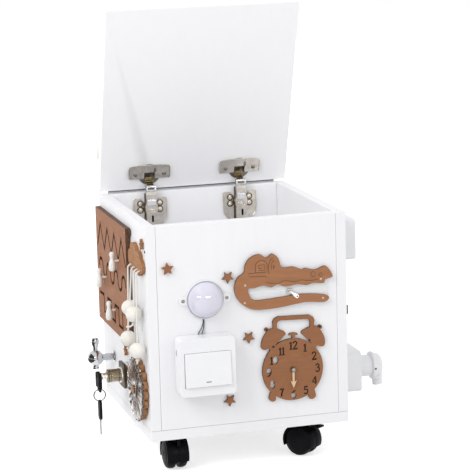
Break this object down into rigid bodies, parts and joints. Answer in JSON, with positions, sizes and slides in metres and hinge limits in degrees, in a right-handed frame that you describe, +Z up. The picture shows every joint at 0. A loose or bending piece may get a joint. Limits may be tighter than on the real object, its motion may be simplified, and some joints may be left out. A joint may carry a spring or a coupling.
{
  "type": "activity cube",
  "caption": "Wheeled wooden busy cube: a lidded board box with play fittings on its outer walls, such as a maze, zip, switch, light, clock, gears, lock and tap",
  "frame": {"origin": "centre of the base board's underside, 52.5 mm above the floor that the castors stand on", "axes": "+Z up, -Y to the front wall with the light and the clock, +X to the viewer's right when the front is faced"},
  "size_m": [0.435, 0.3758, 0.6627],
  "materials": {
    "white_laminate": "white melamine film on chipboard, satin",
    "nickel": "nickel plated steel",
    "antique_brass": "antique brass plating",
    "white_painted_wood": "white painted turned wood",
    "black_plastic": "moulded black nylon, semi-gloss",
    "white_plastic": "moulded white plastic, satin",
    "lilac_dome": "translucent dome, glossy",
    "blue_lead": "insulated flexible leads",
    "cut_plywood": "stained laser-cut plywood with dark cut edges",
    "pale_birch": "bare birch plywood",
    "off_white_cotton": "woven cotton",
    "painted_bead": "off-white painted wood",
    "clear_acrylic": "clear acrylic with polished edges",
    "chrome": "polished chrome plating"
  },
  "bodies": {
    "box": {"base_board": "white_laminate", "left_wall": "white_laminate", "right_wall": "white_laminate", "front_panel": "white_laminate", "back_panel": "white_laminate", "hinge_arm_left": "nickel", "hinge_arm_right": "nickel", "light_base": "white_plastic", "light_dome": "lilac_dome", "light_leads": "blue_lead", "switch_housing": "white_plastic", "battery_pack": "black_plastic", "star_top_middle": "cut_plywood", "star_middle": "cut_plywood", "star_low": "cut_plywood", "crocodile_plate": "cut_plywood", "zip_tape": "off_white_cotton", "clock_plate": "cut_plywood", "maze_board": "cut_plywood", "cloud_plate": "cut_plywood", "cord_rear": "off_white_cotton", "cord_front": "off_white_cotton", "lock_case": "antique_brass", "tap_body": "chrome", "side_switch": "white_plastic", "socket_box": "white_plastic"},
    "hinge_links": {"hinge_link_left": "antique_brass", "hinge_link_right": "antique_brass"},
    "lid": {"lid_panel": "white_laminate", "hinge_cup_left": "nickel", "hinge_cup_right": "nickel", "lid_knob": "white_painted_wood"},
    "castor_front_left": {"castor_hood_front_left": "black_plastic"},
    "wheels_front_left": {"castor_wheels_front_left": "black_plastic"},
    "castor_front_right": {"castor_hood_front_right": "black_plastic"},
    "wheels_front_right": {"castor_wheels_front_right": "black_plastic"},
    "castor_rear_left": {"castor_hood_rear_left": "black_plastic"},
    "wheels_rear_left": {"castor_wheels_rear_left": "black_plastic"},
    "castor_rear_right": {"castor_hood_rear_right": "black_plastic"},
    "wheels_rear_right": {"castor_wheels_rear_right": "black_plastic"},
    "brake": {"brake_lever": "black_plastic"},
    "rocker": {"switch_rocker": "white_plastic"},
    "slider": {"zip_slider": "nickel"},
    "hand": {"clock_hand": "pale_birch"},
    "peg_top": {"maze_peg_top": "white_painted_wood"},
    "peg_middle": {"maze_peg_middle": "white_painted_wood"},
    "peg_low": {"maze_peg_low": "white_painted_wood"},
    "wood_gear": {"wooden_gear": "cut_plywood"},
    "acrylic_gear": {"clear_gear": "clear_acrylic"},
    "key": {"lock_key": "nickel"},
    "bolt": {"lock_bolt": "nickel"},
    "tap_handle": {"tap_lever": "chrome"},
    "mains_plug": {"plug": "white_plastic"},
    "side_key": {"side_rocker": "white_plastic"},
    "head": {"key_head": "black_plastic"},
    "ring": {"key_ring": "nickel"},
    "cord_bead_1": {"bead_1": "painted_bead"},
    "cord_bead_2": {"bead_2": "painted_bead"},
    "cord_bead_3": {"bead_3": "painted_bead"},
    "cord_bead_4": {"bead_4": "painted_bead"}
  },
  "joints": [
    {"name": "hinge_links_turn", "type": "hinge", "parent": "box", "child": "hinge_links", "pos_m": [0, 0.12561, 0.3246], "axis": [1, 0, 0], "range_deg": [-50.5, 11.1]},
    {"name": "lid_turn", "type": "hinge", "parent": "hinge_links", "child": "lid", "pos_m": [0, 0.139, 0.33089], "axis": [1, 0, 0], "range_deg": [-26.6, 122.66]},
    {"name": "castor_front_left_swivel", "type": "hinge", "parent": "box", "child": "castor_front_left", "pos_m": [-0.108, -0.13, 0], "axis": [0, 0, 1], "continuous": true},
    {"name": "wheels_front_left_roll", "type": "hinge", "parent": "castor_front_left", "child": "wheels_front_left", "pos_m": [-0.108, -0.1145, -0.03], "axis": [-1, 0, 0], "continuous": true},
    {"name": "castor_front_right_swivel", "type": "hinge", "parent": "box", "child": "castor_front_right", "pos_m": [0.097, -0.13, 0], "axis": [0, 0, 1], "continuous": true},
    {"name": "wheels_front_right_roll", "type": "hinge", "parent": "castor_front_right", "child": "wheels_front_right", "pos_m": [0.08789, -0.11746, -0.03], "axis": [-0.809, -0.5878, 0], "continuous": true},
    {"name": "castor_rear_left_swivel", "type": "hinge", "parent": "box", "child": "castor_rear_left", "pos_m": [-0.108, 0.13, 0], "axis": [0, 0, 1], "continuous": true},
    {"name": "wheels_rear_left_roll", "type": "hinge", "parent": "castor_rear_left", "child": "wheels_rear_left", "pos_m": [-0.09344, 0.1247, -0.03], "axis": [0.342, 0.9397, 0], "continuous": true},
    {"name": "castor_rear_right_swivel", "type": "hinge", "parent": "box", "child": "castor_rear_right", "pos_m": [0.108, 0.13, 0], "axis": [0, 0, 1], "continuous": true},
    {"name": "wheels_rear_right_roll", "type": "hinge", "parent": "castor_rear_right", "child": "wheels_rear_right", "pos_m": [0.10399, 0.11503, -0.03], "axis": [0.9659, -0.2588, 0], "continuous": true},
    {"name": "brake_press", "type": "hinge", "parent": "castor_front_right", "child": "brake", "pos_m": [0.10264, -0.13777, -0.0068], "axis": [-0.809, -0.5878, 0], "range_deg": [-18, 0]},
    {"name": "switch_press", "type": "hinge", "parent": "box", "child": "rocker", "pos_m": [-0.0705, -0.1725, 0.1075], "axis": [1, 0, 0], "range_deg": [0, 6]},
    {"name": "zip_slide", "type": "slide", "parent": "box", "child": "slider", "axis": [1, 0, 0], "range_m": [-0.052, 0.05]},
    {"name": "clock_hand_turn", "type": "hinge", "parent": "box", "child": "hand", "pos_m": [0.064, -0.15, 0.0885], "axis": [0, 1, 0], "continuous": true},
    {"name": "peg_top_slide", "type": "slide", "parent": "box", "child": "peg_top", "axis": [0, -0.545, 0.8384], "range_m": [0, 0.036]},
    {"name": "peg_middle_turn", "type": "hinge", "parent": "box", "child": "peg_middle", "pos_m": [-0.165, 0.0873, 0.2095], "axis": [1, 0, 0], "range_deg": [-85, 85]},
    {"name": "peg_low_slide", "type": "slide", "parent": "box", "child": "peg_low", "axis": [0, 0, 1], "range_m": [-0.0185, 0.0075]},
    {"name": "wooden_gear_turn", "type": "hinge", "parent": "box", "child": "wood_gear", "pos_m": [-0.15, -0.098, 0.067], "axis": [1, 0, 0], "continuous": true},
    {"name": "clear_gear_turn", "type": "hinge", "parent": "box", "child": "acrylic_gear", "pos_m": [-0.15, -0.098, 0.067], "axis": [1, 0, 0], "continuous": true},
    {"name": "key_turn", "type": "hinge", "parent": "box", "child": "key", "pos_m": [-0.1845, -0.022, 0.07], "axis": [-1, 0, 0], "range_deg": [0, 180]},
    {"name": "bolt_slide", "type": "slide", "parent": "box", "child": "bolt", "axis": [0, 0, 1], "range_m": [0, 0.008]},
    {"name": "tap_turn", "type": "hinge", "parent": "box", "child": "tap_handle", "pos_m": [-0.18, 0.077, 0.0853], "axis": [0, 0, 1], "range_deg": [-90, 90]},
    {"name": "plug_pull", "type": "slide", "parent": "box", "child": "mains_plug", "axis": [1, 0, 0], "range_m": [0, 0.05]},
    {"name": "side_switch_press", "type": "hinge", "parent": "box", "child": "side_key", "pos_m": [0.178, -0.0675, 0.262], "axis": [0, 1, 0], "range_deg": [0, 6]},
    {"name": "key_head_fold", "type": "hinge", "parent": "key", "child": "head", "pos_m": [-0.197, -0.022, 0.073], "axis": [0, 1, 0], "range_deg": [0, 90]},
    {"name": "key_ring_swing", "type": "hinge", "parent": "head", "child": "ring", "pos_m": [-0.197, -0.022, 0.0481], "axis": [0, 1, 0], "range_deg": [-30, 45]},
    {"name": "bead_1_slide", "type": "slide", "parent": "box", "child": "cord_bead_1", "axis": [0.0526, -0.1174, 0.9917], "range_m": [0, 0.011]},
    {"name": "bead_2_slide", "type": "slide", "parent": "box", "child": "cord_bead_2", "axis": [0.0283, -0.0132, 0.9995], "range_m": [0, 0.02]},
    {"name": "bead_3_slide", "type": "slide", "parent": "box", "child": "cord_bead_3", "axis": [0.0494, 0.0181, 0.9986], "range_m": [0, 0.011]},
    {"name": "bead_4_slide", "type": "slide", "parent": "box", "child": "cord_bead_4", "axis": [0.0271, 0.0135, 0.9995], "range_m": [0, 0.02]}
  ],
  "couplings": [
    {"joint": "hinge_links_turn", "follows": "lid_turn", "ratio": -0.41057},
    {"joint": "bolt_slide", "follows": "key_turn", "m_per_rad": 0.002546}
  ]
}
